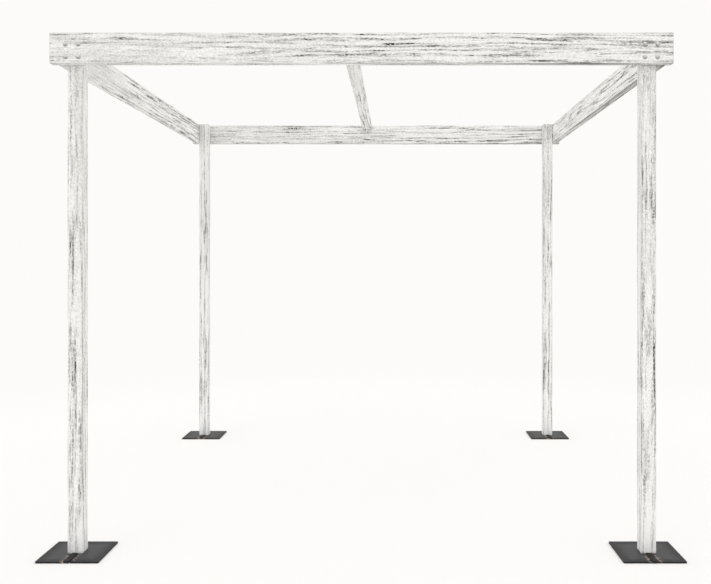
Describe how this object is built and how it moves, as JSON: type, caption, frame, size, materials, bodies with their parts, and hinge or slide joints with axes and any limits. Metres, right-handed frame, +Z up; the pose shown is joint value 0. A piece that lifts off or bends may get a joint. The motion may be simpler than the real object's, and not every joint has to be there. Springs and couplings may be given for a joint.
{
  "type": "open-frame cabana",
  "caption": "Open timber cabana frame: square posts on flat steel base plates carry a ring of deep beams and one flat rafter, to hold drapes or a canopy.",
  "frame": {"origin": "on the ground, at the centre of the four posts", "axes": "+X across the front to the right, +Y from front to back, +Z up"},
  "size_m": [3.085, 3.135, 2.528],
  "materials": {
    "whitewashed_timber": "weathered whitewash with dark open grain",
    "plate_paint": "satin black paint",
    "tongue_steel": "dark satin paint"
  },
  "bodies": {
    "root": {"front_beam": "whitewashed_timber", "back_beam": "whitewashed_timber", "left_beam": "whitewashed_timber", "right_beam": "whitewashed_timber", "centre_rafter": "whitewashed_timber", "front_left_post": "whitewashed_timber", "front_right_post": "whitewashed_timber", "back_left_post": "whitewashed_timber", "back_right_post": "whitewashed_timber", "front_left_base_plate": "plate_paint", "front_right_base_plate": "plate_paint", "back_left_base_plate": "plate_paint", "back_right_base_plate": "plate_paint", "front_left_foot_tongue": "tongue_steel", "front_right_foot_tongue": "tongue_steel", "back_left_foot_tongue": "tongue_steel", "back_right_foot_tongue": "tongue_steel"}
  },
  "joints": []
}
